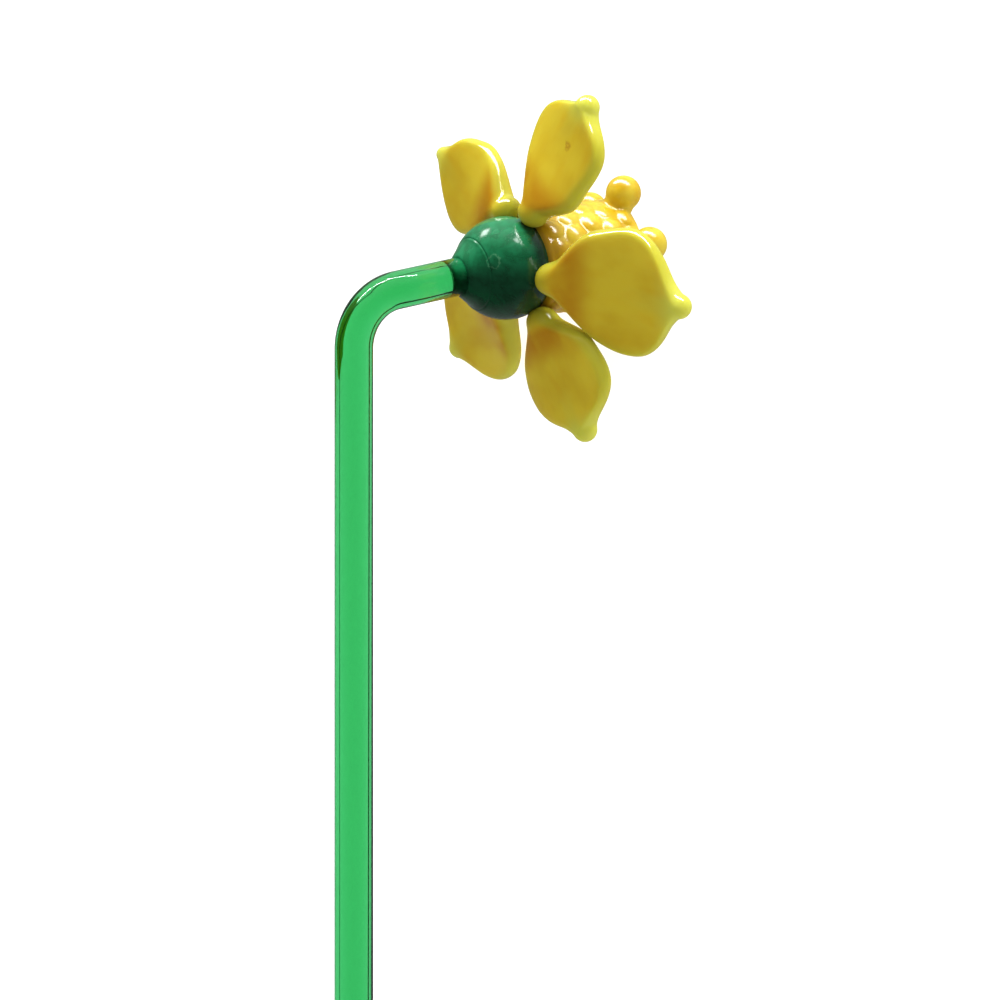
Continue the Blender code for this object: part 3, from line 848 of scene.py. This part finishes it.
# %% Light
def tent():
    """White cloth all round, brighter towards the lit end, and dimmer in what the glass mirrors
    or lets through, so that its own colour shows."""
    world = bpy.data.worlds.new("tent")
    bpy.context.scene.world = world
    world.use_nodes = True
    tree = world.node_tree
    place = node(tree, "ShaderNodeTexCoord")
    parts = node(tree, "ShaderNodeSeparateXYZ", Vector=place.outputs["Generated"])
    path = node(tree, "ShaderNodeLightPath")
    soft = node(tree, "ShaderNodeMapRange", SOFT, Value=parts.outputs["Y"],
                From_Min=-1.0, From_Max=1.0, To_Min=0.55, To_Max=1.05)
    mirrored = node(tree, "ShaderNodeMapRange", SOFT, Value=parts.outputs["Y"],
                    From_Min=0.3, From_Max=1.0, To_Min=0.05, To_Max=0.6)
    below = node(tree, "ShaderNodeMapRange", SOFT, Value=parts.outputs["Z"],
                 From_Min=0.1, From_Max=-0.6, To_Min=0.0, To_Max=0.25)
    mirrored = node(tree, "ShaderNodeMath", {"operation": "MAXIMUM"}, i0=mirrored, i1=below)
    strength = node(tree, "ShaderNodeMix", i0=path.outputs["Is Glossy Ray"], i2=soft,
                    i3=mirrored)
    strength = node(tree, "ShaderNodeMix", i0=path.outputs["Is Transmission Ray"],
                    i2=strength, i3=0.45)
    strength = node(tree, "ShaderNodeMath", {"operation": "MAXIMUM"}, i0=strength,
                    i1=path.outputs["Is Camera Ray"])
    background = tree.nodes["Background"]
    background.inputs["Color"].default_value = srgb("#FFFFFF")
    tree.links.new(strength.outputs[0], background.inputs["Strength"])


def panel(name, place, width, height, power, lit, mirrored=True, roll=0.0):
    """A soft light panel that looks at the head and lights only the objects in one collection."""
    lamp = bpy.data.lights.new(name, "AREA")
    lamp.shape, lamp.size, lamp.size_y, lamp.energy = "RECTANGLE", width, height, power
    holder = bpy.data.objects.new(name, lamp)
    bpy.context.collection.objects.link(holder)
    holder.location = BEAD_CENTRE + Vector(place)
    facing = (-Vector(place)).to_track_quat("-Z", "Y").to_matrix()
    holder.rotation_euler = (facing @ Matrix.Rotation(roll, 3, "Z")).to_euler()
    holder.visible_camera = False
    holder.visible_glossy = mirrored
    holder.light_linking.receiver_collection = lit
    return holder


def group(name, *objects):
    """A collection that only tells the lamps what to light."""
    made = bpy.data.collections.new(name)
    for obj in objects:
        made.objects.link(obj)
    return made


# %% Lamps
tent()
BEYOND = 0.6                       # how far beyond the head the panels stand, in metres
yellow_pieces = group("yellow pieces", trumpet, *petals.values())
only_pod = group("only the pod", pod)
only_stem = group("only the stem", stem)
only_table = group("only the table", table)
panel("window", (0.05, BEYOND, 0.26), 1.2, 0.12, 9, yellow_pieces, mirrored=False)
shine = panel("shine", (0.0, BEYOND, 0.25), 1.2, 0.22, 22, yellow_pieces)
shine.visible_diffuse = False
panel("pod_light", (0.0, BEYOND, 0.20), 0.6, 0.3, 44, only_pod, mirrored=False)
panel("pod_window", (0.0, BEYOND, 0.20), 0.9, 0.20, 8, only_pod)
streak = panel("streak", (-0.01, BEYOND, 0.18), 0.9, 0.032, 4.6, only_stem,
               roll=math.radians(40))
streak.visible_diffuse = False
table_light = panel("table_light", (0, 0, 1.5), 2.0, 2.0, 32, only_table)
table_light.light_linking.blocker_collection = only_table
bpy.context.scene.view_settings.view_transform = "Standard"

# %% Camera
# The camera stands as if before the upright flower, 30 degrees round it from its side, and a long
# lens keeps the shapes nearly free of perspective.
VIEW_TURN = math.radians(30)
CAMERA_DISTANCE = 1.0
PICTURE_WIDTH = 0.182              # what the picture spans at the bead, in metres
SENSOR = 36.0                      # mm
UPRIGHT_AXES = UPRIGHT.to_3x3()
stem_up = UPRIGHT_AXES @ Vector((0, 0, 1))
away = UPRIGHT_AXES @ Vector((math.sin(VIEW_TURN), math.cos(VIEW_TURN), 0))
right = away.cross(stem_up)
target = BEAD_CENTRE - right * (0.9 * MM) - stem_up * (42.2 * MM)
camera_data = bpy.data.cameras.new("camera")
camera_data.lens = SENSOR * CAMERA_DISTANCE / PICTURE_WIDTH
camera_data.sensor_width = SENSOR
camera = bpy.data.objects.new("camera", camera_data)
bpy.context.collection.objects.link(camera)
camera.matrix_world = (
    Matrix.Translation(target - away * CAMERA_DISTANCE)
    @ Matrix((right, stem_up, -away)).transposed().to_4x4()
)
bpy.context.scene.camera = camera

# %% Black cards
# Clear glass is drawn by what is beside it. Narrow black cards follow the rod on both sides, and
# are seen only through its edges, where they become thin dark lines.
CARD_DISTANCE = 8 * MM             # from the rod's centre line
# which hand, and between which shares of the rod's radius each line shows
CARDS = ((1, 0.79, 0.84), (1, 0.96, 0.999), (-1, 0.68, 0.71), (-1, 0.96, 0.999))


def seen_through(share):
    """The angle from straight behind, where a sight line at this share of the radius goes."""
    meets, inside = math.asin(share), math.asin(share / ROD_IOR)
    leaves, turned_by = 2 * inside - meets, 2 * (meets - inside)
    x, z = ROD_RADIUS * math.sin(leaves), ROD_RADIUS * math.cos(leaves)
    half = -x * math.sin(turned_by) + z * math.cos(turned_by)
    run = -half + math.sqrt(half ** 2 + CARD_DISTANCE ** 2 - ROD_RADIUS ** 2)
    return math.atan2(run * math.sin(turned_by) - x, z + run * math.cos(turned_by))


def rod_path():
    """Points on the rod's centre line, each with the rod's direction there."""
    path = [(Vector((0, 0, -STEM_LENGTH)), Vector((0, 0, 1)))]
    for k in range(BEND_STEPS + 1):
        turn = bend_turn * k / BEND_STEPS
        path.append((Vector((1 - math.cos(turn), 0, math.sin(turn))) * BEND_RADIUS,
                     Vector((math.sin(turn), 0, math.cos(turn)))))
    path.append((bend_end + neck * NECK_LENGTH, neck))
    return [(UPRIGHT @ point, UPRIGHT_AXES @ along) for point, along in path]


def black_card(name, hand, first, last):
    """A strip along the rod that shows between two shares of its radius, on one hand."""
    angles = (seen_through(first), seen_through(last))
    points = []
    for point, along in rod_path():
        across = away.cross(along).normalized()
        behind = along.cross(across)
        for angle in angles:
            points.append(point + CARD_DISTANCE * (
                behind * math.cos(angle) - across * (hand * math.sin(angle))))
    faces = [(k, k + 1, k + 3, k + 2) for k in range(0, len(points) - 3, 2)]
    data = bpy.data.meshes.new(name)
    data.from_pydata(points, [], faces)
    card = bpy.data.objects.new(name, data)
    bpy.context.collection.objects.link(card)
    data.materials.append(black_paper)
    card.visible_camera = card.visible_diffuse = card.visible_glossy = False
    card.visible_shadow = False


black_paper, paper_nodes = new_material("black paper")
paper = node(paper_nodes, "ShaderNodeBsdfPrincipled", Base_Color=srgb("#273027"),
             Roughness=0.9)
node(paper_nodes, "ShaderNodeOutputMaterial", Surface=paper)
for k, card in enumerate(CARDS):
    black_card("black card %d" % k, *card)
print("black cards:", len(CARDS))
